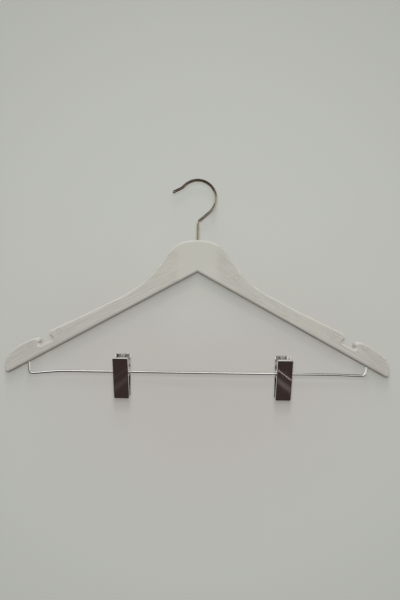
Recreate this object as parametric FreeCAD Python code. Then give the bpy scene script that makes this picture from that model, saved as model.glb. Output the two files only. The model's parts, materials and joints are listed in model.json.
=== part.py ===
import FreeCAD, Part
import math
import os

# Skirt hanger: two wooden shoulders, a swivelling wire hook, a wire bar and two sprung clips on the bar.
# Millimetres. The origin is the top of the hook's inside, where the rail bears.
# X runs across the shoulders, +Z is up, and the front of the hanger faces -Y.

# Wooden shoulders, which grow deeper towards their tips
shoulder_span = 445.0
wood_thickness = 12.0
arm_slope = 28.6
top_slope = 25.9
ridge_height = 13.3
edge_round = 2.6
neck_depth = 37.3
crown_radius = 69.0
crown_slope = 9.0
neck_radius = 36.6
neck_slope = 57.6
hollow_radius = 124.0
hollow_slope = 27.4
sweep_radius = 2000.0
seam_overrun = 14.0

# Tips of the shoulders
tip_rise = 0.4
tip_lead = 4.5
tip_crest_radius = 90.0
tip_crest_turn = 11.0
tip_back_radius = 27.0
tip_corner_radius = 3.2

# Strap notches, measured along and square to the top of the arm
notch_mouth = 13.3
notch_depth = 10.8
notch_reach = 2.3
notch_round = 2.0
brow_radius = 8.0
brow_slope = 48.0
nose_land = 0.3
nose_slope = 123.0
heel_radius = 1.0
wall_slope = 72.0
roof_radius = 1.3
roof_slope = 140.0
lip_land = 0.3
lip_brow_radius = 8.0
lip_brow_slope = 50.0

# Hook, sizes on the centre line of its wire
hook_wire = 3.5
hook_radius = 21.4
hook_offset = -0.8
hook_wrap = 185.5
hook_slope = 40.5
hook_bend_radius = 5.5
hook_stem = 21.77
hook_tip_radius = 18.0
hook_tip_turn = 19.7
hook_tip_run = 8.0
hook_tip_ball = 4.0
hook_head = 5.4
hook_head_height = 1.6

# Bush in the neck and dowels across the seam
bush_diameter = 6.5
bush_length = 18.0
bush_sink = 0.6
head_play = 0.15
head_room = 1.2
dowel_diameter = 4.0
dowel_length = 24.0
dowel_height = 4.5
dowel_spacing = 6.8
dowel_end_gap = 0.5
glue_gap = 0.05

# Clip bar
bar_wire = 3.0
bar_inset = 27.1
bar_clearance = 10.4
bar_bend_radius = 4.5
left_leg_lean = 5.0
right_leg_lean = 16.0
left_droop = 3.3
right_droop = 1.0
droop_run = 35.0
droop_radius = 60.0
leg_grip = 9.0
leg_gap = 0.05
leg_end_gap = 0.3

# Clips
left_clip_place = -87.0
right_clip_place = 101.5
clip_width = 17.8
clip_sheet = 0.8
handle_length = 19.3
jaw_length = 31.0
handle_spread = 18.5
jaw_spread = 10.5
flange_depth = 3.0
lip_depth = 2.0
lip_run = 4.0
corner_round = 1.5
press_round = 1.0
ear_radius = 3.6
ear_root_round = 1.5
ear_play = 0.3
pad_height = 9.0
pad_gap = 0.3
pad_edge_round = 0.6
clip_lean = 8.0

# Hollow rivets that carry the clips on the bar
sleeve_wall = 0.5
sleeve_head = 6.4
sleeve_head_height = 0.6
sleeve_head_round = 0.25
running_gap = 0.08
side_play = 0.1

# Torsion springs
spring_wire = 0.9
spring_gap = 0.4
spring_turns = 4
spring_pitch = 1.6
spring_leg = 12.5
spring_leg_gap = 0.3

# Small length by which cutting tools run past what they cut
past = 1.0


def vec(x, y, z):
    return FreeCAD.Vector(x, y, z)


ORIGIN = vec(0, 0, 0)
X_AXIS = vec(1, 0, 0)
Y_AXIS = vec(0, 1, 0)
Z_AXIS = vec(0, 0, 1)


def along(heading):
    """Unit step in the XZ plane, at a heading in degrees from +X towards +Z."""
    return vec(math.cos(math.radians(heading)), 0, math.sin(math.radians(heading)))


def arc_step(radius, start, end):
    """From the start of an arc to its end, where the arc swings from one heading to another."""
    bend = math.copysign(radius, end - start)
    first = along(start)
    last = along(end)
    return vec(bend * (last.z - first.z), 0, bend * (first.x - last.x))


class Outline:
    """Lines and tangent arcs laid end to end in the XZ plane."""

    def __init__(self, start, heading):
        self.point = start
        self.heading = heading
        self.edges = []

    def forward(self, length):
        end = self.point + along(self.heading) * length
        self.edges.append(Part.LineSegment(self.point, end).toShape())
        self.point = end

    def turn(self, radius, heading):
        """Follow an arc to a new heading; a larger heading turns left and the same one needs no arc."""
        if heading == self.heading:
            return
        middle = self.point + arc_step(radius, self.heading, (self.heading + heading) / 2)
        end = self.point + arc_step(radius, self.heading, heading)
        self.edges.append(Part.Arc(self.point, middle, end).toShape())
        self.point = end
        self.heading = heading

    def close(self, start):
        self.edges.append(Part.LineSegment(self.point, start).toShape())


def rounded_face(corners):
    """Flat face through (point, radius) corners, each corner rounded by a tangent arc."""
    arcs = []
    for index, (point, radius) in enumerate(corners):
        back = (corners[index - 1][0] - point).normalize()
        ahead = (corners[(index + 1) % len(corners)][0] - point).normalize()
        if radius == 0:
            arcs.append((point, None, point))
            continue
        half = back.getAngle(ahead) / 2
        inward = (back + ahead).normalize()
        setback = radius / math.tan(half)
        middle = point + inward * (radius / math.sin(half) - radius)
        arcs.append((point + back * setback, middle, point + ahead * setback))
    edges = []
    for index, (start, middle, end) in enumerate(arcs):
        previous = arcs[index - 1][2]
        if previous.distanceToPoint(start) > 1e-6:
            edges.append(Part.LineSegment(previous, start).toShape())
        if middle is not None:
            edges.append(Part.Arc(start, middle, end).toShape())
    return Part.Face(Part.Wire(edges))


def tube_along(edges, diameter):
    """Round wire of one diameter along a run of tangent edges."""
    path = Part.Wire(edges)
    first = edges[0]
    circle = Part.Circle(first.Vertexes[0].Point, first.tangentAt(first.FirstParameter), diameter / 2)
    return path.makePipeShell([Part.Wire([circle.toShape()])], True, False)


def cylinder(diameter, length, base, axis):
    return Part.makeCylinder(diameter / 2, length, base, axis)


# Heights, all hung from the rail seat at the origin
slope_sin = math.sin(math.radians(hook_slope))
slope_cos = math.cos(math.radians(hook_slope))
hook_centre_z = -math.sqrt((hook_radius - hook_wire / 2) ** 2 - hook_offset ** 2)
hook_corner_z = hook_centre_z - (hook_radius + hook_offset * slope_sin) / slope_cos
crown_z = hook_corner_z - hook_stem
vee_z = crown_z - neck_depth
arm_tan = math.tan(math.radians(arm_slope))
arm_cos = math.cos(math.radians(arm_slope))
arm_sin = math.sin(math.radians(arm_slope))
ridge_z = vee_z + ridge_height
top_cos = math.cos(math.radians(top_slope))
top_sin = math.sin(math.radians(top_slope))
bar_half = shoulder_span / 2 - bar_inset
bar_z = vee_z - arm_tan * bar_half - bar_clearance


def over_arm(point):
    """How far a point stands above the underside of the right arm, square to it."""
    return point.x * arm_sin + (point.z - vee_z) * arm_cos


def along_top(point):
    """How far along the right arm's top line a point lies, from the middle of the hanger."""
    return point.x * top_cos - (point.z - ridge_z) * top_sin


def over_top(point):
    """How far a point stands above the right arm's top line, square to it."""
    return point.x * top_sin + (point.z - ridge_z) * top_cos


def crest_along_top():
    """Where along the top line the tip is highest, so that the tips stand the full span apart."""
    back = arc_step(tip_back_radius, -tip_crest_turn, top_slope - 90)
    fall = arc_step(tip_crest_radius, 0, -tip_crest_turn) + back
    return (shoulder_span / 2 - (tip_rise + fall.z) * top_sin) / top_cos - fall.x


def draw_neck(top):
    """Crown, neck side, hollow and sweep, ending on the arm's top line."""
    top.turn(crown_radius, -crown_slope)
    top.turn(neck_radius, -neck_slope)
    hollow = arc_step(hollow_radius, -neck_slope, -hollow_slope)
    sweep = arc_step(sweep_radius, -hollow_slope, -top_slope)
    spare = over_top(top.point + hollow + sweep)
    top.forward(spare / math.sin(math.radians(neck_slope - top_slope)))
    top.turn(hollow_radius, -hollow_slope)
    top.turn(sweep_radius, -top_slope)


def draw_notch(top):
    """Undercut strap notch, from the nose of the arm down to its floor and up to the lip of the tip."""
    nose_radius = edge_round + nose_land
    lip_radius = edge_round + lip_land
    climb = arc_step(tip_crest_radius, tip_lead, 0)
    lip_brow = arc_step(lip_brow_radius, lip_brow_slope, tip_lead)
    lip_end = vec(crest_along_top(), 0, tip_rise) - climb - lip_brow
    lip_start = lip_end - arc_step(lip_radius, roof_slope, lip_brow_slope)
    lip_edge = lip_end.x - arc_step(lip_radius, 90, lip_brow_slope).x
    nose = arc_step(brow_radius, 0, -brow_slope) + arc_step(nose_radius, -brow_slope, -90)
    top.forward(lip_edge - notch_mouth - nose.x - along_top(top.point))
    top.turn(brow_radius, -top_slope - brow_slope)
    top.turn(nose_radius, -top_slope - nose_slope)
    drop = notch_depth + over_top(top.point) + arc_step(notch_round, -nose_slope, 0).z
    top.forward(drop / math.sin(math.radians(nose_slope)))
    top.turn(notch_round, -top_slope)
    heel = arc_step(heel_radius, 0, wall_slope)
    roof = arc_step(roof_radius, wall_slope, roof_slope)
    wall_top = lip_edge + notch_reach - arc_step(roof_radius, wall_slope, 90).x
    roof_run = (lip_start.x - roof.x - wall_top) / along(roof_slope).x
    wall_rise = notch_depth + lip_start.z - roof_run * along(roof_slope).z - roof.z - heel.z
    wall_run = wall_rise / along(wall_slope).z
    floor_end = wall_top - wall_run * along(wall_slope).x - heel.x
    top.forward(floor_end - along_top(top.point))
    top.turn(heel_radius, wall_slope - top_slope)
    top.forward(wall_run)
    top.turn(roof_radius, roof_slope - top_slope)
    top.forward(roof_run)
    top.turn(lip_radius, lip_brow_slope - top_slope)
    top.turn(lip_brow_radius, tip_lead - top_slope)


def draw_tip(top):
    """Crest, back and lower corner of the tip, ending on the underside of the arm."""
    top.turn(tip_crest_radius, -top_slope - tip_crest_turn)
    start_cos = math.cos(math.radians(top_slope + tip_crest_turn - arm_slope))
    back_fall = over_arm(top.point) - tip_back_radius * start_cos
    end_cos = (tip_corner_radius - back_fall) / (tip_back_radius - tip_corner_radius)
    top.turn(tip_back_radius, -arm_slope - math.degrees(math.acos(end_cos)))
    top.turn(tip_corner_radius, -arm_slope - 180)


def shoulder_blank():
    """Right arm with rounded edges, run past the centre so that the rounding meets the seam square."""
    start = vec(0, 0, crown_z) - arc_step(crown_radius, seam_overrun, 0)
    top = Outline(start, seam_overrun)
    draw_neck(top)
    draw_notch(top)
    draw_tip(top)
    top.forward((top.point.x - start.x) / arm_cos)
    top.close(start)
    slab = Part.Face(Part.Wire(top.edges))
    slab.translate(vec(0, -wood_thickness / 2, 0))
    slab = slab.extrude(vec(0, wood_thickness, 0))
    rims = [edge for edge in slab.Edges if is_rim(edge, start.x)]
    rounded = slab.makeFillet(edge_round, rims)
    keep = Part.makeBox(shoulder_span, wood_thickness, 2 * shoulder_span)
    keep.translate(vec(0, -wood_thickness / 2, -2 * shoulder_span))
    return rounded.common(keep)


def is_rim(edge, end_x):
    """True for an edge of the front or rear face, apart from the end that the seam cuts off."""
    box = edge.BoundBox
    return box.YLength < 1e-6 and box.XMax > end_x + 1e-6


def bush_hole():
    depth = bush_sink + bush_length + head_play + hook_head_height + head_room
    return cylinder(bush_diameter + 2 * glue_gap, depth + past, vec(0, 0, crown_z - depth), Z_AXIS)


def dowel_places():
    return [vee_z + dowel_height, vee_z + dowel_height + dowel_spacing]


def dowel_holes():
    length = dowel_length + 2 * dowel_end_gap
    holes = [
        cylinder(dowel_diameter + 2 * glue_gap, length, vec(-length / 2, 0, z), X_AXIS) for z in dowel_places()
    ]
    return Part.makeCompound(holes)


def leg_frame(side, lean, droop):
    """Foot of a bar leg, its upward direction and its length from the foot to its end in the wood."""
    foot = vec(side * bar_half, 0, bar_z - droop)
    up = vec(side * math.sin(math.radians(lean)), 0, math.cos(math.radians(lean)))
    below_wood = (bar_clearance + droop) / (up.z + arm_tan * abs(up.x))
    return foot, up, below_wood + leg_grip


def leg_hole(side, lean, droop):
    foot, up, length = leg_frame(side, lean, droop)
    return cylinder(bar_wire + 2 * leg_gap, length + leg_end_gap, foot, up)


def shoulders():
    right = shoulder_blank()
    left = right.mirror(ORIGIN, X_AXIS)
    inner_cuts = [bush_hole(), dowel_holes()]
    return {
        "left_shoulder": left.cut(inner_cuts + [leg_hole(-1, left_leg_lean, left_droop)]),
        "right_shoulder": right.cut(inner_cuts + [leg_hole(1, right_leg_lean, right_droop)]),
    }


def hook():
    """Stem, bend, round crown and turned-out tip in one wire, with a headed foot and a ball at the tip."""
    head_top = crown_z - bush_sink - bush_length - head_play
    setback = bend_setback(hook_bend_radius, 90 - hook_slope)
    slant = hook_offset * slope_cos + (hook_centre_z - hook_corner_z) * slope_sin
    path = Outline(vec(0, 0, head_top), 90)
    path.forward(hook_corner_z - head_top - setback)
    path.turn(hook_bend_radius, hook_slope)
    path.forward(slant - setback)
    path.turn(hook_radius, hook_slope + hook_wrap)
    path.turn(hook_tip_radius, hook_slope + hook_wrap - hook_tip_turn)
    path.forward(hook_tip_run)
    wire = tube_along(path.edges, hook_wire)
    ball = Part.makeSphere(hook_tip_ball / 2, path.point)
    head = cylinder(hook_head, hook_head_height, vec(0, 0, head_top - hook_head_height), Z_AXIS)
    return wire.fuse([ball, head]).removeSplitter()


def hook_bush():
    base = vec(0, 0, crown_z - bush_sink - bush_length)
    body = cylinder(bush_diameter, bush_length, base, Z_AXIS)
    return body.cut(cylinder(hook_wire + 2 * running_gap, bush_length, base, Z_AXIS))


def shoulder_dowels():
    pins = [cylinder(dowel_diameter, dowel_length, vec(-dowel_length / 2, 0, z), X_AXIS) for z in dowel_places()]
    return Part.makeCompound(pins)


def bend_setback(radius, turn):
    """How far before a corner its rounding starts."""
    return radius * math.tan(math.radians(turn / 2))


def clip_bar():
    """Bar that is straight where the clips run, droops a little at its ends and is bent up into the arms."""
    left_foot, left_up, left_length = leg_frame(-1, left_leg_lean, left_droop)
    right_length = leg_frame(1, right_leg_lean, right_droop)[2]
    left_fall = math.degrees(math.atan2(left_droop, droop_run))
    right_fall = math.degrees(math.atan2(right_droop, droop_run))
    left_corner = bend_setback(bar_bend_radius, 90 - left_leg_lean + left_fall)
    right_corner = bend_setback(bar_bend_radius, 90 - right_leg_lean + right_fall)
    left_knee = bend_setback(droop_radius, left_fall)
    right_knee = bend_setback(droop_radius, right_fall)
    path = Outline(left_foot + left_up * left_length, left_leg_lean - 90)
    path.forward(left_length - left_corner)
    path.turn(bar_bend_radius, left_fall)
    path.forward(math.hypot(droop_run, left_droop) - left_corner - left_knee)
    path.turn(droop_radius, 0)
    path.forward(2 * (bar_half - droop_run) - left_knee - right_knee)
    path.turn(droop_radius, -right_fall)
    path.forward(math.hypot(droop_run, right_droop) - right_corner - right_knee)
    path.turn(bar_bend_radius, 90 - right_leg_lean)
    path.forward(right_length - right_corner)
    return tube_along(path.edges, bar_wire)


# Clip sizes that follow from the spread of its handles and jaws; the pivot is the origin of each clip
jaw_tilt = math.degrees(math.atan((handle_spread - jaw_spread) / 2 / (handle_length + jaw_length)))
tilt_sin = math.sin(math.radians(jaw_tilt))
tilt_cos = math.cos(math.radians(jaw_tilt))
pivot_depth = (jaw_spread / 2 + jaw_length * tilt_sin / tilt_cos) * tilt_cos
plate_top = (handle_length + pivot_depth * tilt_sin) / tilt_cos
plate_foot = (jaw_length - pivot_depth * tilt_sin) / tilt_cos
sleeve_diameter = bar_wire + 2 * running_gap + 2 * sleeve_wall
ear_hole = sleeve_diameter + 2 * running_gap
coil_radius = sleeve_diameter / 2 + spring_gap + spring_wire / 2


def leg_lean():
    """Lean of a spring leg whose end lies just clear of the inside of its handle, in degrees."""
    reach = pivot_depth - clip_sheet - spring_leg_gap - spring_wire / 2
    swing = math.asin(reach / math.hypot(coil_radius, spring_leg)) - math.atan2(coil_radius, spring_leg)
    return jaw_tilt + math.degrees(swing)


spring_leg_lean = leg_lean()


def rounded_tray(inset):
    """Block with the outline of a jaw plate, its corners and front edges rounded, drawn in by an inset."""
    depth = pivot_depth + ear_radius + past
    height = plate_top + plate_foot - 2 * inset
    block = Part.makeBox(clip_width - 2 * inset, depth, height)
    block.translate(vec(inset - clip_width / 2, inset - pivot_depth, inset - plate_foot))
    corners = [edge for edge in block.Edges if edge.BoundBox.YLength > depth / 2]
    block = block.makeFillet(corner_round - inset, corners)
    front = block.BoundBox.YMin
    rim = [edge for edge in block.Edges if edge.BoundBox.YMax < front + 1e-6]
    return block.makeFillet(press_round - inset, rim)


def side_point(y, z):
    return vec(0, y, z)


def flange_profile(with_ear):
    """Side view of a jaw: the flanges along both sides, and where wanted the ear round the pivot."""
    front = -pivot_depth - past
    flange = flange_depth - pivot_depth
    lip = lip_depth - pivot_depth
    corners = [
        (side_point(front, -plate_foot - past), 0),
        (side_point(lip, -plate_foot - past), 0),
        (side_point(lip, clip_sheet - plate_foot), 0),
        (side_point(flange, lip_run - plate_foot), ear_root_round),
    ]
    if with_ear:
        corners += [
            (side_point(flange, -ear_radius), ear_root_round),
            (side_point(ear_radius, -ear_radius), ear_radius * 0.999),
            (side_point(ear_radius, ear_radius), ear_radius * 0.999),
            (side_point(flange, ear_radius), ear_root_round),
        ]
    corners += [
        (side_point(flange, plate_top - lip_run), ear_root_round),
        (side_point(lip, plate_top - clip_sheet), 0),
        (side_point(lip, plate_top + past), 0),
        (side_point(front, plate_top + past), 0),
    ]
    return rounded_face(corners)


def across(face, start, end):
    """Solid from a side-view face, between two places across the clip."""
    blank = face.copy()
    blank.translate(vec(start, 0, 0))
    return blank.extrude(vec(end - start, 0, 0))


def inner_ear(side):
    """Ear set in by one sheet, so that it passes inside the ear of the other jaw."""
    outer = clip_width / 2 - clip_sheet - ear_play
    root = clip_sheet / 2 - pivot_depth
    tab = rounded_face([
        (side_point(root, -ear_radius), 0),
        (side_point(ear_radius, -ear_radius), ear_radius * 0.999),
        (side_point(ear_radius, ear_radius), ear_radius * 0.999),
        (side_point(root, ear_radius), 0),
    ])
    ear = across(tab, side * (outer - clip_sheet), side * outer)
    web = Part.makeBox(clip_sheet + ear_play + clip_sheet / 2, flange_depth - clip_sheet / 2, 2 * ear_radius)
    web.translate(vec(outer - clip_sheet, root, -ear_radius))
    if side < 0:
        web = web.mirror(ORIGIN, X_AXIS)
    return ear.fuse(web)


def pressed_jaw(inner_ears):
    """Front jaw in its own upright frame: plate, turned-in rim and ears, before it is tilted."""
    shell = rounded_tray(0).cut(rounded_tray(clip_sheet))
    shell = shell.common(across(flange_profile(not inner_ears), -clip_width, clip_width))
    if inner_ears:
        shell = shell.fuse([inner_ear(-1), inner_ear(1)]).removeSplitter()
    return shell.cut(cylinder(ear_hole, 2 * clip_width, vec(-clip_width, 0, 0), X_AXIS))


def grip_pad(jaw):
    """Pad that fills the end of a jaw and meets the other pad on the middle plane of the clip."""
    pad = Part.makeBox(clip_width - 2 * clip_sheet, jaw_spread, pad_height)
    pad.translate(vec(clip_sheet - clip_width / 2, clip_sheet / 2 - pivot_depth, clip_sheet - plate_foot))
    pad.rotate(ORIGIN, X_AXIS, jaw_tilt)
    room = Part.makeBox(2 * clip_width, 2 * jaw_spread, 4 * jaw_length)
    room.translate(vec(-clip_width, -2 * jaw_spread - pad_gap / 2, -2 * jaw_length))
    pad = max(pad.common(room).cut(jaw).Solids, key=lambda solid: solid.Volume)
    meeting = [edge for edge in pad.Edges if edge.BoundBox.YMin > -pad_gap / 2 - 1e-6]
    return pad.makeFillet(pad_edge_round, meeting)


def pivot_sleeve():
    """Hollow rivet: a tube that runs on the bar, with a turned-over head outside each ear."""
    half = clip_width / 2 + side_play
    length = 2 * (half + sleeve_head_height)
    body = cylinder(sleeve_diameter, length, vec(-length / 2, 0, 0), X_AXIS)
    heads = [
        cylinder(sleeve_head, sleeve_head_height, vec(start, 0, 0), X_AXIS)
        for start in (-half - sleeve_head_height, half)
    ]
    body = body.fuse(heads).removeSplitter()
    ends = [edge for edge in body.Edges if abs(abs(edge.CenterOfMass.x) - length / 2) < 1e-6]
    body = body.makeFillet(sleeve_head_round, ends)
    return body.cut(cylinder(bar_wire + 2 * running_gap, length, vec(-length / 2, 0, 0), X_AXIS))


def coil_angles():
    """Turn angles of the spring's coil, from the front leg to the rear one, in quarter turns or less."""
    start = 180 + spring_leg_lean
    sweep = 360 * spring_turns + 180 - 2 * spring_leg_lean
    count = math.ceil(sweep / 90)
    return [math.radians(start + sweep * index / count) for index in range(count + 1)]


def coil_point(angle, first, last):
    reach = (angle - (first + last) / 2) / (2 * math.pi) * spring_pitch
    return vec(reach, coil_radius * math.cos(angle), coil_radius * math.sin(angle))


def coil_tangent(angle):
    lift = spring_pitch / (2 * math.pi)
    return vec(lift, -coil_radius * math.sin(angle), coil_radius * math.cos(angle)).normalize()


def arc_from_tangent(start, corner, end):
    """Arc between two points whose end tangents meet at a corner."""
    middle = (start + end) * 0.5
    rise = corner - middle
    half_chord = (end - start).Length / 2
    angle = math.atan2(rise.Length, half_chord)
    return Part.Arc(start, middle + rise.normalize() * half_chord * math.tan(angle / 2), end).toShape()


def biarc(start, start_way, end, end_way):
    """Two tangent arcs from one point and direction to another."""
    gap = end - start
    ways = start_way + end_way
    turn = 2 * (1 - start_way.dot(end_way))
    reach = (math.sqrt(gap.dot(ways) ** 2 + turn * gap.dot(gap)) - gap.dot(ways)) / turn
    first_corner = start + start_way * reach
    last_corner = end - end_way * reach
    joint = (first_corner + last_corner) * 0.5
    return [arc_from_tangent(start, first_corner, joint), arc_from_tangent(joint, last_corner, end)]


def spring_edges():
    """Front leg, coil and rear leg of a torsion spring as one run of lines and arcs."""
    angles = coil_angles()
    points = [coil_point(angle, angles[0], angles[-1]) for angle in angles]
    ways = [coil_tangent(angle) for angle in angles]
    edges = [Part.LineSegment(points[0] - ways[0] * spring_leg, points[0]).toShape()]
    for index in range(len(points) - 1):
        edges += biarc(points[index], ways[index], points[index + 1], ways[index + 1])
    edges.append(Part.LineSegment(points[-1], points[-1] + ways[-1] * spring_leg).toShape())
    return edges


def least_spring_gap(edges):
    """Smallest clear space between one stretch of the spring's wire and another, on points along it."""
    points = []
    for edge in edges:
        points += edge.discretize(Number=12)[:-1]
    steps = [0.0]
    for index in range(1, len(points)):
        steps.append(steps[-1] + points[index].distanceToPoint(points[index - 1]))
    half_turn = math.pi * coil_radius
    return min(
        points[i].distanceToPoint(points[j]) - spring_wire
        for i in range(len(points))
        for j in range(i)
        if steps[i] - steps[j] > half_turn
    )


def clip():
    """The six pieces of one clip, about its pivot."""
    front = pressed_jaw(False)
    front.rotate(ORIGIN, X_AXIS, jaw_tilt)
    back_blank = pressed_jaw(True)
    back_blank.rotate(ORIGIN, X_AXIS, jaw_tilt)
    edges = spring_edges()
    print("least gap between spring turns, mm:", round(least_spring_gap(edges), 3))
    return {
        "front_jaw": front,
        "back_jaw": back_blank.mirror(ORIGIN, Y_AXIS),
        "front_pad": grip_pad(front),
        "back_pad": grip_pad(back_blank).mirror(ORIGIN, Y_AXIS),
        "pivot_sleeve": pivot_sleeve(),
        "spring": tube_along(edges, spring_wire),
    }


def build():
    parts = shoulders()
    parts["hook"] = hook()
    parts["hook_bush"] = hook_bush()
    parts["shoulder_dowels"] = shoulder_dowels()
    parts["clip_bar"] = clip_bar()
    pieces = clip()
    for side, place in (("left", left_clip_place), ("right", right_clip_place)):
        for name, shape in pieces.items():
            leaned = shape.rotated(ORIGIN, X_AXIS, clip_lean)
            parts[side + "_" + name] = leaned.translated(vec(place, 0, bar_z))
    return parts


os.makedirs("parts", exist_ok=True)
for name, shape in build().items():
    shape.exportStep(os.path.join("parts", name + ".step"))
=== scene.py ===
"""Looks of a wooden skirt hanger with a wire hook, a wire bar and two sprung clips.

X runs across the shoulders, +Z is up, and the front of the hanger faces -Y. Places are in metres; patterns on
the hanger's surfaces are in millimetres.
"""

import json
import math

import bpy
import numpy as np
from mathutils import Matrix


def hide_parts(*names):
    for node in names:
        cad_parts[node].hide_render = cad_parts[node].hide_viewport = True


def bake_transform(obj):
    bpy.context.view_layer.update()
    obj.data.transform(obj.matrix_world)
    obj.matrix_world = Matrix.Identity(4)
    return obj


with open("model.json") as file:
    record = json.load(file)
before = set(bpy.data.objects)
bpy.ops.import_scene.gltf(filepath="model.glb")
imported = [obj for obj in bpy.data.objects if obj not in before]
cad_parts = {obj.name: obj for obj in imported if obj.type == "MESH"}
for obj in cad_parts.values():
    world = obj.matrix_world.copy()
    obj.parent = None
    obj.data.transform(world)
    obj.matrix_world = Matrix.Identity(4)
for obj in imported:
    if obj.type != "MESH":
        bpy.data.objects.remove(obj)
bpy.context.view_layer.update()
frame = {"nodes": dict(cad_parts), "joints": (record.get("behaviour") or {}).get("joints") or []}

MM = 0.001
SIDES = ("left", "right")

# Camera: the place of its eye, how it is rolled and turned, and its focal length in pixels of the picture
EYE_X = 7.6 * MM
EYE_Y = -404.4 * MM
EYE_Z = -138.2 * MM
CAMERA_ROLL = math.radians(0.70)
CAMERA_PAN = math.radians(0.60)
FOCAL_PIXELS = 346.0
IMAGE_LONG_SIDE = 600.0
SENSOR_WIDTH = 36.0
NEAREST_SEEN = 0.01

# Wood, in millimetres: slopes of the grain and of the arms' undersides, the height where the undersides meet,
# and the front face
GRAIN_SLOPE = math.radians(27.2)
UNDERSIDE_SLOPE = math.radians(28.6)
UNDERSIDE_TOP = -106.16
FRONT_FACE = -6.0

# Growth rings: their width, how far their middle line lies below and behind the board, its tilt, their wander
RING_WIDTH = 2.6
RING_LINE_BELOW = 12.0
RING_LINE_BEHIND = 30.0
RING_TILT = 0.03
RING_WANDER = 10.0

# Distances from the middle of the hanger between which the grain opens, and the paint takes the tips' colour
GRAIN_OPENS = (19.0, 27.0)
TIP_COLOUR_RISES = (30.0, 170.0)
CLOSED_GRAIN = 0.15

# Painted shade along the arms' lower edges, where the undersides are in shade: full at them, fading between
# these distances from them
UNDERSIDE_SHADE_FADES = (3.4, 1.2)

# Small knots in the front of the arms: their places across and up and their radii, and their rings' width
KNOTS = {
    "left": ((-193.0, -192.2, 3.2), (-159.0, -176.2, 2.6)),
    "right": ((193.5, -190.7, 3.4), (160.0, -176.2, 2.6), (45.0, -112.2, 3.0)),
}
KNOT_RING = 1.1
KNOT_WANDER = 2.0

PAINT = (0.490, 0.487, 0.434, 1.0)
PAINT_STREAK = (0.410, 0.398, 0.360, 1.0)
PAINT_PORE = (0.315, 0.305, 0.262, 1.0)
PAINT_YELLOWED = (0.495, 0.480, 0.415, 1.0)
PAINT_TIP = (0.508, 0.492, 0.455, 1.0)
# Painted shade: the darker tone of the arms' lower edges, where the undersides are in shade
UNDERSIDE_SHADE_TONE = (0.330, 0.305, 0.280, 1.0)
DOWEL_WOOD = (0.46, 0.29, 0.15, 1.0)
DOWEL_PORE = (0.30, 0.17, 0.08, 1.0)
RUBBER = (0.016, 0.015, 0.015, 1.0)
RUBBER_BLOOM = (0.045, 0.042, 0.040, 1.0)

# Plated metals: bright and dulled colour, roughness, height of the plate's waves, and roughness added by wear
PLATING = {
    "hook_nickel": ((0.58, 0.515, 0.42, 1.0), (0.42, 0.36, 0.285, 1.0), 0.12, 0.004, 0.05),
    "bush_brass": ((0.72, 0.55, 0.27, 1.0), (0.50, 0.36, 0.16, 1.0), 0.30, 0.002, 0.05),
    "bar_chrome": ((0.92, 0.92, 0.91, 1.0), (0.74, 0.74, 0.73, 1.0), 0.10, 0.003, 0.05),
    "clip_chrome": ((0.80, 0.79, 0.78, 1.0), (0.70, 0.68, 0.67, 1.0), 0.02, 0.003, 0.01),
    "spring_steel": ((0.55, 0.55, 0.54, 1.0), (0.36, 0.35, 0.34, 1.0), 0.24, 0.001, 0.05),
}
SCRATCH_DEPTH = 0.0015

# Springs, as wound
SPRING_WIRE = 0.9 * MM
COIL_RADIUS = 2.93 * MM
COIL_TURNS = 4
COIL_PITCH = 1.6 * MM
SPRING_LEG = 12.5 * MM
SPRING_LEG_LEAN = math.radians(20.0)
CLIP_LEAN = math.radians(8.0)

# Mesh of the springs: rows along the coil and each leg, points round the wire, the height of a rounded end
# as a share of the wire's radius, and the square of the end disc's share of that radius
COIL_ROWS = 300
LEG_ROWS = 24
WIRE_POINTS = 20
END_HEIGHT = 0.6
END_DISC_SQUARED = 0.02

# Wall: its place and half width; the heights between which it turns to the foot's colour; the distances from
# its middle between which it turns paler, painted light that evens out the lamps' weaker light there; and the
# heights between which metal sees it as dark as the floor
WALL_Y = 0.240
WALL_HALF = 2.5
WALL_TOP = (0.499, 0.522, 0.482, 1.0)
WALL_FOOT = (0.484, 0.446, 0.428, 1.0)
WALL_EDGE = (0.542, 0.552, 0.517, 1.0)
FOOT_RISES = (0.20, -0.50)
EDGE_RISES = (0.08, 0.52)
WALL_DARKENS = (-0.33, -0.45)

# The room as metal sees it. A direction's up part is -1 straight down and 1 straight up; its across part is
# 1 to the right, and its deep part 1 away from the eye. Pairs are where a tone begins and where it is full.
FLOOR = (0.046, 0.031, 0.028, 1.0)
FLOOR_STREAK = (0.82, 0.71, 0.665, 1.0)
ROOM_SIDES = (0.70, 0.69, 0.665, 1.0)
CEILING = (1.40, 1.39, 1.36, 1.0)
ZENITH = (0.55, 0.54, 0.52, 1.0)
LEFT_SHADE = (0.08, 0.072, 0.070, 1.0)
RIGHT_SHADE = (0.16, 0.16, 0.15, 1.0)
FLOOR_BEGINS = (-0.33, -0.47)
CEILING_BEGINS = (0.22, 0.40)
ZENITH_BEGINS = (0.60, 0.85)
LEFT_SHADE_ACROSS, LEFT_SHADE_BELOW = (-0.02, -0.16), (0.05, -0.12)
RIGHT_SHADE_ACROSS, RIGHT_SHADE_ABOVE = (0.20, 0.32), (0.26, 0.40)

# Streaks on the floor, mirrored left and right: their slope, and the level and half width of each, with its
# strength on the left and what the right adds to it
STREAK_SLOPE = 0.487
STREAKS = ((-0.479, 0.0014, 0.04, 0.85), (-0.502, 0.012, 0.035, 0.07))
STREAK_RIGHT = (-0.05, 0.05)
STREAK_AHEAD = (-0.10, -0.45)

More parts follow.
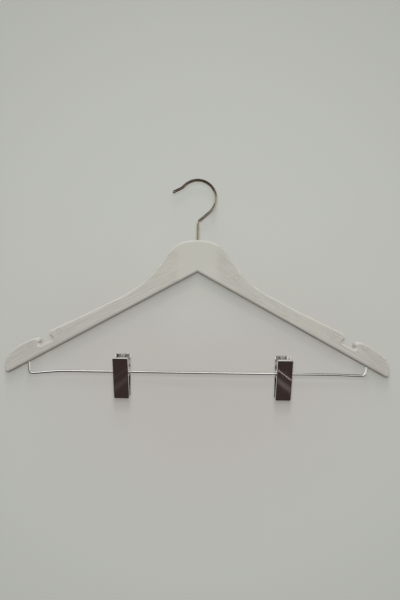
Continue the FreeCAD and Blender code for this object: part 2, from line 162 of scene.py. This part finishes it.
# The light on matt surfaces, below and above, from ahead and from the sides, and from behind; and what is
# seen past the wall
AHEAD_LOW, AHEAD_HIGH = (0.08, 0.08, 0.08, 1.0), (1.10, 1.10, 1.10, 1.0)
SIDES_LOW, SIDES_HIGH = (0.08, 0.07, 0.06, 1.0), (1.60, 1.60, 1.57, 1.0)
BEHIND = (0.60, 0.60, 0.60, 1.0)
BACKGROUND = (0.500, 0.515, 0.475, 1.0)
AHEAD_RISES = (-0.10, 0.35)
SIDES_RISE = (-0.15, 0.25)
SIDES_BEGIN = (-0.80, -0.40)
BEHIND_BEGINS = (0.30, 0.60)

# Dark boards that only metal sees, each a corner and two edges
BOARDS = {
    "over_board": ((-0.12, -0.11, 0.06), (0.24, 0.0, 0.0), (0.0, 0.13, 0.0)),
    "front_board": ((-0.10, -0.16, -0.05), (0.15, 0.0, 0.0), (0.0, 0.0, 0.135)),
}
BOARD_DARK = (0.060, 0.040, 0.030, 1.0)
BOARD_PALE = (0.110, 0.080, 0.062, 1.0)

# Lamps: the window behind and what it faces, and the lamps over the eye, each with the heights of its lower
# and upper edge over the eye and its share of full light
WINDOW_PLACE = (0.30, 1.0, 0.70)
WINDOW_AIM = (0.0, 0.0, -0.13)
WINDOW_WIDTH, WINDOW_HEIGHT = 1.2, 0.9
WINDOW_POWER = 4.0
EYE_LAMPS = (
    ("near_lamp", 0.003, 0.014, 0.21),
    ("upper_lamp", 0.022, 0.046, 0.13),
    ("high_lamp", 0.025, 0.110, 0.07),
)
EYE_LAMP_WIDTH = 0.012
FULL_LIGHT = math.pi ** 2


class Value:
    """A socket that takes part in sums: each operator adds a Math node to the socket's tree."""

    def __init__(self, socket):
        self.socket = socket

    def sum(self, operation, first, second):
        """Math node on two values or numbers."""
        node = self.socket.id_data.nodes.new("ShaderNodeMath")
        node.operation = operation
        plug(node.inputs[0], first)
        plug(node.inputs[1], second)
        return Value(node.outputs[0])

    def __add__(self, other):
        return self.sum("ADD", self, other)

    def __radd__(self, other):
        return self.sum("ADD", other, self)

    def __sub__(self, other):
        return self.sum("SUBTRACT", self, other)

    def __rsub__(self, other):
        return self.sum("SUBTRACT", other, self)

    def __mul__(self, other):
        return self.sum("MULTIPLY", self, other)

    def __rmul__(self, other):
        return self.sum("MULTIPLY", other, self)

    def __truediv__(self, other):
        return self.sum("DIVIDE", self, other)

    def __rtruediv__(self, other):
        return self.sum("DIVIDE", other, self)

    def __pow__(self, other):
        return self.sum("POWER", self, other)

    def __rpow__(self, other):
        return self.sum("POWER", other, self)


def plug(socket, item):
    """Link a socket to a value, or set it to a number, colour or vector."""
    if isinstance(item, Value):
        socket.id_data.links.new(item.socket, socket)
    else:
        socket.default_value = item


class Shader:
    """The node tree of one material, of a lamp or of the world."""

    def __init__(self, tree):
        self.tree = tree
        tree.nodes.clear()

    def node(self, kind, sockets, settings=None, out=0):
        """Add a node: its settings first, then its sockets by name or number; gives one of its outputs."""
        node = self.tree.nodes.new("ShaderNode" + kind)
        for name, setting in (settings or {}).items():
            setattr(node, name, setting)
        for name, item in sockets.items():
            plug(node.inputs[name], item)
        return Value(node.outputs[out]) if node.outputs else None

    def place(self, turn=(0.0, 0.0, 0.0), unit=1.0):
        """Object coordinates, turned, in units of so many metres."""
        spot = self.node("TexCoord", {}, out="Object")
        return self.node("Mapping", {"Vector": spot, "Rotation": turn, "Scale": (1.0 / unit,) * 3})

    def stretch(self, spot, scale):
        """A place with its three parts multiplied apart, for patterns longer one way than another."""
        return self.node("VectorMath", {0: spot, 1: scale}, {"operation": "MULTIPLY"})

    def distance(self, spot, point):
        """How far a place is from a point."""
        return self.node("VectorMath", {0: spot, 1: point}, {"operation": "DISTANCE"}, out="Value")

    def noise(self, spot, scale=1.0, detail=2.0, rough=0.5, warp=0.0):
        """Cloudy values about a half."""
        sockets = {"Vector": spot, "Scale": scale, "Detail": detail, "Roughness": rough, "Distortion": warp}
        return self.node("TexNoise", sockets)

    def parts(self, spot):
        """The three parts of a vector."""
        split = self.node("SeparateXYZ", {0: spot}).socket.node
        return [Value(socket) for socket in split.outputs]

    def size(self, value):
        """A value without its sign."""
        return self.node("Math", {0: value}, {"operation": "ABSOLUTE"})

    def step(self, value, low, high):
        """0 below low, 1 above high, and a smooth rise between; falls instead where low is above high."""
        turned = low > high
        sockets = {"Value": value, "From Min": min(low, high), "From Max": max(low, high)}
        sockets.update({"To Min": float(turned), "To Max": float(not turned)})
        return self.node("MapRange", sockets, {"interpolation_type": "SMOOTHSTEP"})

    def ridge(self, value, centre, half):
        """1 at a centre, and a smooth fall to 0 at half a width to either side of it."""
        return self.step(self.size(value - centre), half, 0.0)

    def blend(self, share, first, second):
        """Colour that goes from first to second as share goes from 0 to 1."""
        sockets = {"Factor": share, 6: first, 7: second}
        return self.node("Mix", sockets, {"data_type": "RGBA"}, out=2)

    def bump(self, height):
        """Normal of a surface with a height in millimetres."""
        return self.node("Bump", {"Height": height, "Distance": MM, "Strength": 1.0})

    def surface(self, sockets):
        """Plug a Principled surface into the material."""
        self.node("OutputMaterial", {"Surface": self.node("BsdfPrincipled", sockets)})


def new_finish(name):
    """A new material and its empty tree."""
    material = bpy.data.materials.new(name)
    material.use_nodes = True
    return material, Shader(material.node_tree)


def painted_wood(name, slope, knots):
    """White paint over open grain.

    The grain frame has its first axis down the arm. Growth rings are circles round a line behind the board,
    so the ring phase is the distance from that line over the ring width. Pores are a noise drawn out along
    the grain, kept where it is high and where the ring is young; they are sunk and darker. Streaks are a
    broader noise, the young rings and the knots. The lower edges get painted shade, darker towards them: the
    distance from the underside is the height over its top and the distance from the middle, each times its
    share of the slope.
    """
    material, s = new_finish(name)
    spot = s.place(turn=(0.0, slope, 0.0), unit=MM)
    wander = s.noise(s.stretch(spot, (0.012, 0.03, 0.03)), detail=1.0) - 0.5
    along, deep, across = s.parts(spot)
    run = across + wander * RING_WANDER
    ring_height = run + along * RING_TILT + RING_LINE_BELOW
    ring_radius = (ring_height ** 2.0 + (deep - RING_LINE_BEHIND) ** 2.0) ** 0.5
    ring = s.node("Math", {0: ring_radius / RING_WIDTH}, {"operation": "FRACT"})
    young = s.step(ring, 0.75, 0.2)

    level = s.place(unit=MM)
    sideways, _, height = s.parts(level)
    from_middle = s.size(sideways)
    rise, lean = math.cos(UNDERSIDE_SLOPE), math.sin(UNDERSIDE_SLOPE)
    over_edge = (height - UNDERSIDE_TOP) * rise + from_middle * lean
    open_grain = s.step(from_middle, *GRAIN_OPENS) * (1.0 - CLOSED_GRAIN) + CLOSED_GRAIN

    grain_spot = s.node("CombineXYZ", {0: along, 1: deep, 2: run})
    fine = s.noise(s.stretch(grain_spot, (0.10, 1.6, 2.0)), detail=3.0, rough=0.6)
    broad = s.noise(s.stretch(grain_spot, (0.022, 0.20, 0.34)), detail=4.0, rough=0.75)
    pore = s.step(fine, 0.56, 0.70) * (young * 0.7 + 0.3) * open_grain
    streak = (s.step(broad, 0.36, 0.64) * 0.6 + young * 0.4) * open_grain
    for knot_x, knot_z, radius in knots:
        away = s.distance(level, (knot_x, FRONT_FACE, knot_z)) + wander * KNOT_WANDER
        streak = streak + s.ridge(away, radius, KNOT_RING) * 0.8
    patch = s.step(s.noise(s.stretch(spot, (0.02, 0.05, 0.05))), 0.45, 0.75)
    brushed = s.noise(s.stretch(spot, (0.25, 1.0, 1.0)), detail=3.0)

    colour = s.blend(s.step(from_middle, *TIP_COLOUR_RISES), PAINT, PAINT_TIP)
    colour = s.blend(streak * 0.95, colour, PAINT_STREAK)
    colour = s.blend(patch * 0.5, colour, PAINT_YELLOWED)
    colour = s.blend(pore * 0.8, colour, PAINT_PORE)
    # Painted shade: the paint darkens towards the arms' lower edges, where the undersides turn away from the
    # light
    colour = s.blend(s.step(over_edge, *UNDERSIDE_SHADE_FADES) * 0.7, colour, UNDERSIDE_SHADE_TONE)
    s.surface({
        "Base Color": colour,
        "Roughness": brushed * 0.18 + 0.46 + pore * 0.1,
        "Normal": s.bump(young * 0.015 - pore * 0.05 - streak * 0.02 + brushed * 0.015),
    })
    return material


def bare_wood():
    """Turned hardwood with fine, darker, sunk pores along the pin."""
    material, s = new_finish("bare_wood")
    fine = s.noise(s.stretch(s.place(unit=MM), (0.15, 3.0, 3.0)))
    pore = s.step(fine, 0.55, 0.7)
    s.surface({
        "Base Color": s.blend(pore, DOWEL_WOOD, DOWEL_PORE),
        "Roughness": fine * 0.2 + 0.5,
        "Normal": s.bump(pore * -0.03),
    })
    return material


def plated(name):
    """Plated metal: cloudy wear that dulls it, hairline scratches, and a faint waviness of the plate."""
    bright, dull, roughness, ripple, wear = PLATING[name]
    material, s = new_finish(name)
    spot = s.place(unit=MM)
    cloud = s.step(s.noise(spot, 0.16, detail=4.0, rough=0.6), 0.35, 0.75)
    hair = s.noise(s.stretch(spot, (0.5, 0.5, 6.0)), detail=3.0, rough=0.7, warp=0.4)
    scratch = s.step(hair, 0.60, 0.72)
    wave = s.noise(spot, 0.09, detail=1.0)
    s.surface({
        "Base Color": s.blend(cloud * 0.5 + scratch * 0.2, bright, dull),
        "Metallic": 1.0,
        "Roughness": roughness + (cloud + scratch) * wear,
        "Normal": s.bump(wave * ripple - scratch * SCRATCH_DEPTH),
    })
    return material


def rubber():
    """Moulded black rubber: fine pebbling and a dusty bloom."""
    material, s = new_finish("pad_rubber")
    spot = s.place(unit=MM)
    pebble = s.noise(spot, 2.4, detail=3.0)
    bloom = s.step(s.noise(spot, 0.35, detail=4.0), 0.45, 0.75)
    s.surface({
        "Base Color": s.blend(bloom, RUBBER, RUBBER_BLOOM),
        "Roughness": pebble * 0.2 + 0.6,
        "Normal": s.bump(pebble * 0.05),
    })
    return material


def dress(node, material):
    """Give a CAD node its finish."""
    for slot in frame["nodes"][node].material_slots:
        slot.material = material


def new_piece(name, points, faces, material):
    """A smooth-shaded mesh object from arrays of points and faces."""
    mesh = bpy.data.meshes.new(name)
    mesh.from_pydata(points.tolist(), [], faces)
    mesh.update()
    mesh.shade_smooth()
    mesh.materials.append(material)
    piece = bpy.data.objects.new(name, mesh)
    bpy.context.scene.collection.objects.link(piece)
    return piece


def board(name, corner, first, second, material):
    """Flat board: its corner, then the corner moved by one edge, by both and by the other."""
    steps = np.array([np.zeros(3), first, np.add(first, second), second])
    return new_piece(name, steps + corner, [(0, 1, 2, 3)], material)


def spring_line(centre):
    """Centre line of a torsion spring, with two unit vectors square to it at each point.

    The coil is a helix about X: its angle runs from a half turn plus the legs' lean, by its turns and a half
    turn, less that lean twice, and X follows the angle by the pitch. The legs carry on along the tangents at
    the coil's ends. The whole leans as the clips do: each point turns about X by their lean.
    """
    first = math.pi + SPRING_LEG_LEAN
    sweep = 2 * math.pi * COIL_TURNS + math.pi - 2 * SPRING_LEG_LEAN
    angle = first + np.linspace(0.0, sweep, COIL_ROWS)
    lift = COIL_PITCH / (2 * math.pi)
    outward = np.stack([np.zeros_like(angle), np.cos(angle), np.sin(angle)], axis=1)
    onward = np.stack([np.zeros_like(angle), -np.sin(angle), np.cos(angle)], axis=1)
    sideways = np.array((1.0, 0.0, 0.0))
    coil = COIL_RADIUS * outward + lift * (angle - first - sweep / 2)[:, None] * sideways
    way = COIL_RADIUS * onward + lift * sideways
    way /= np.linalg.norm(way, axis=1, keepdims=True)

    out_along = SPRING_LEG * np.linspace(1.0, 0.0, LEG_ROWS, endpoint=False)[:, None]
    front = coil[0] - way[0] * out_along
    rear = coil[-1] + way[-1] * out_along[::-1]
    line = np.concatenate([front, coil, rear])
    row = np.clip(np.arange(len(line)) - LEG_ROWS, 0, COIL_ROWS - 1)
    ways, sides = way[row], outward[row]

    lean_cos, lean_sin = math.cos(CLIP_LEAN), math.sin(CLIP_LEAN)
    turned = np.array([(1.0, 0.0, 0.0), (0.0, lean_cos, lean_sin), (0.0, -lean_sin, lean_cos)])
    return line @ turned + centre, sides @ turned, np.cross(ways, sides) @ turned


def wire(name, line, side, other, radius, material):
    """Round wire: a circle of the radius carried along a line, drawn in to a rounded end at both ends.

    At a distance d from an end, up to the height h of the rounding, the circle's radius is that of the wire
    times the root of 1 - (1 - d / h)^2; the very end is a small flat disc.
    """
    run = np.concatenate([[0.0], np.cumsum(np.linalg.norm(np.diff(line, axis=0), axis=1))])
    inset = np.minimum(np.minimum(run, run[-1] - run) / (radius * END_HEIGHT), 1.0)
    size = radius * np.sqrt(np.maximum(1.0 - (1.0 - inset) ** 2, END_DISC_SQUARED))
    turn = np.linspace(0.0, 2 * math.pi, WIRE_POINTS, endpoint=False)[None, :, None]
    ring = np.cos(turn) * side[:, None, :] + np.sin(turn) * other[:, None, :]
    points = (line[:, None, :] + size[:, None, None] * ring).reshape(-1, 3)

    row = np.arange(len(line) - 1)[:, None] * WIRE_POINTS
    here = np.arange(WIRE_POINTS)[None, :]
    beside = (here + 1) % WIRE_POINTS
    next_row = row + WIRE_POINTS
    quads = np.stack([row + here, row + beside, next_row + beside, next_row + here], axis=2)
    last = (len(line) - 1) * WIRE_POINTS
    caps = [list(range(WIRE_POINTS))[::-1], list(range(last, last + WIRE_POINTS))]
    return new_piece(name, points, quads.reshape(-1, 4).tolist() + caps, material)


def joint_place(name):
    """Where a joint turns, from the frame."""
    return np.array(next(joint["pos_m"] for joint in frame["joints"] if joint["name"] == name))


def spring(side, material):
    """One clip's spring, wound anew as a fixed mesh at the clip's pivot with a leg towards each jaw; the CAD
    spring is hidden.
    """
    pivot = joint_place(side + "_clip_squeeze")
    line, outward, other = spring_line(pivot)
    piece = wire(side + "_wound_spring", line, outward, other, SPRING_WIRE / 2, material)
    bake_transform(piece)
    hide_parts(side + "_spring")


def dress_hanger():
    """Every CAD node gets its finish, and the springs are wound anew."""
    dress("left_shoulder", painted_wood("painted_wood_left", GRAIN_SLOPE, KNOTS["left"]))
    dress("right_shoulder", painted_wood("painted_wood_right", -GRAIN_SLOPE, KNOTS["right"]))
    dress("shoulder_dowels", bare_wood())
    dress("hook", plated("hook_nickel"))
    dress("hook_bush", plated("bush_brass"))
    dress("clip_bar", plated("bar_chrome"))
    clip_metal = plated("clip_chrome")
    spring_metal = plated("spring_steel")
    pad = rubber()
    for side in SIDES:
        for part in ("front_jaw", "back_jaw", "pivot_sleeve"):
            dress(f"{side}_{part}", clip_metal)
        for part in ("front_pad", "back_pad"):
            dress(f"{side}_{part}", pad)
        spring(side, spring_metal)


def backdrop():
    """Pale wall behind the hanger, a little warmer towards its foot, and painted paler away from its middle
    to even out the lamps' weaker light there.

    Only its front shows, and it holds back no light from behind, so that the hanger's back is seen and lit.
    """
    material, s = new_finish("backdrop")
    spot = s.place()
    height = s.parts(spot)[2]
    blotch = s.noise(spot, 6.0, detail=4.0) * 0.5 - 0.25
    colour = s.blend(s.step(height, *FOOT_RISES) + blotch, WALL_TOP, WALL_FOOT)
    away = s.distance(spot, (0.0, WALL_Y, EYE_Z))
    # Painted light: paler away from the middle, making up for the lamps' light that falls off there
    colour = s.blend(s.step(away, *EDGE_RISES), colour, WALL_EDGE)
    mirrored = s.node("LightPath", {}, out="Is Glossy Ray") * s.step(height, *WALL_DARKENS)
    pale = s.node("BsdfDiffuse", {"Color": s.blend(mirrored, colour, FLOOR)})
    clear = s.node("BsdfTransparent", {})
    behind = s.node("NewGeometry", {}, out="Backfacing")
    shadow = s.node("LightPath", {}, out="Is Shadow Ray")
    hidden = s.node("Math", {0: behind, 1: shadow}, {"operation": "MAXIMUM"})
    s.node("OutputMaterial", {"Surface": s.node("MixShader", {0: hidden, 1: pale, 2: clear})})
    corner = (-WALL_HALF, WALL_Y, -WALL_HALF)
    width, rise = (2 * WALL_HALF, 0.0, 0.0), (0.0, 0.0, 2 * WALL_HALF)
    board("backdrop", corner, width, rise, material)


def metal_room(s, across, deep, up):
    """What metal sees: a pale room, bright above and shaded at the sides, and a dark, streaked floor."""
    slant = up + s.size(across) * STREAK_SLOPE
    right = s.step(across, *STREAK_RIGHT)
    strengths = [s.ridge(slant, level, half) * (right * more + left) for level, half, left, more in STREAKS]
    streaks = (strengths[0] + strengths[1]) * s.step(deep, *STREAK_AHEAD)
    floor = s.blend(streaks, FLOOR, FLOOR_STREAK)
    seen = s.blend(s.step(up, *CEILING_BEGINS), ROOM_SIDES, CEILING)
    seen = s.blend(s.step(up, *ZENITH_BEGINS), seen, ZENITH)
    left_shade = s.step(across, *LEFT_SHADE_ACROSS) * s.step(up, *LEFT_SHADE_BELOW)
    seen = s.blend(left_shade, seen, LEFT_SHADE)
    right_shade = s.step(across, *RIGHT_SHADE_ACROSS) * s.step(up, *RIGHT_SHADE_ABOVE)
    seen = s.blend(right_shade, seen, RIGHT_SHADE)
    return s.blend(s.step(up, *FLOOR_BEGINS), seen, floor)


def matt_room(s, deep, up):
    """The light on matt surfaces: mostly from the sides and above."""
    ahead = s.blend(s.step(up, *AHEAD_RISES), AHEAD_LOW, AHEAD_HIGH)
    sides = s.blend(s.step(up, *SIDES_RISE), SIDES_LOW, SIDES_HIGH)
    sides = s.blend(s.step(deep, *BEHIND_BEGINS), sides, BEHIND)
    return s.blend(s.step(deep, *SIDES_BEGIN), ahead, sides)


def room():
    """World light: one room for metal, one for matt surfaces, and a plain background for the camera."""
    world = bpy.data.worlds.new("room")
    bpy.context.scene.world = world
    world.use_nodes = True
    s = Shader(world.node_tree)
    across, deep, up = s.parts(s.node("TexCoord", {}, out="Generated"))
    metal = s.node("Background", {"Color": metal_room(s, across, deep, up), "Strength": 1.0})
    matt = s.node("Background", {"Color": matt_room(s, deep, up), "Strength": 1.0})
    plain = s.node("Background", {"Color": BACKGROUND, "Strength": 1.0})
    glossy_ray = s.node("LightPath", {}, out="Is Glossy Ray")
    camera_ray = s.node("LightPath", {}, out="Is Camera Ray")
    light = s.node("MixShader", {0: glossy_ray, 1: matt, 2: metal})
    light = s.node("MixShader", {0: camera_ray, 1: light, 2: plain})
    s.node("OutputWorld", {"Surface": light})


def dark_boards():
    """Two dark boards that only metal sees: one over the hook, one in front and to the left of it."""
    material, s = new_finish("dark_board")
    shade = s.blend(s.noise(s.place(), 8.0), BOARD_DARK, BOARD_PALE)
    s.node("OutputMaterial", {"Surface": s.node("Emission", {"Color": shade})})
    for name, (corner, first, second) in BOARDS.items():
        piece = board(name, corner, first, second, material)
        piece.visible_camera = piece.visible_diffuse = piece.visible_shadow = False


def lamp(name, place, aim, power, width, height):
    """A rectangular lamp at a place, turned to an aim point."""
    data = bpy.data.lights.new(name, "AREA")
    data.energy = power
    data.shape = "RECTANGLE"
    data.size = width
    data.size_y = height
    holder = bpy.data.objects.new(name, data)
    bpy.context.scene.collection.objects.link(holder)
    holder.location = place
    way = np.subtract(aim, place)
    level = math.hypot(way[0], way[1])
    holder.rotation_euler = (math.atan2(level, -way[2]), 0.0, math.atan2(way[1], way[0]) - math.pi / 2)
    return holder


def even_falloff(data):
    """Make a lamp as strong far away as near."""
    data.use_nodes = True
    s = Shader(data.node_tree)
    strength = s.node("LightFalloff", {"Strength": 1.0}, out="Constant")
    s.node("OutputLight", {"Surface": s.node("Emission", {"Strength": strength})})


def lights():
    """A window behind, and three lamps over the eye.

    The near lamp gives the tight shadow on the wall, the upper one its flat part below the arms, and the high
    one, which is tall, its soft edge.
    """
    lamp("rear_window", WINDOW_PLACE, WINDOW_AIM, WINDOW_POWER, WINDOW_WIDTH, WINDOW_HEIGHT)
    for name, low, high, share in EYE_LAMPS:
        height = EYE_Z + (low + high) / 2
        place, aim = (EYE_X, EYE_Y, height), (EYE_X, 0.0, height)
        holder = lamp(name, place, aim, share * FULL_LIGHT, EYE_LAMP_WIDTH, high - low)
        holder.visible_glossy = False
        even_falloff(holder.data)


def camera():
    """A pinhole eye that looks along +Y, turned and rolled a little, as the photograph was taken."""
    data = bpy.data.cameras.new("camera")
    data.sensor_width = SENSOR_WIDTH
    data.lens = FOCAL_PIXELS * SENSOR_WIDTH / IMAGE_LONG_SIDE
    data.clip_start = NEAREST_SEEN
    eye = bpy.data.objects.new("camera", data)
    bpy.context.scene.collection.objects.link(eye)
    eye.location = (EYE_X, EYE_Y, EYE_Z)
    eye.rotation_euler = (math.pi / 2, -CAMERA_ROLL, CAMERA_PAN)
    bpy.context.scene.camera = eye


dress_hanger()
backdrop()
room()
dark_boards()
lights()
camera()
bpy.context.scene.view_settings.view_transform = "Standard"
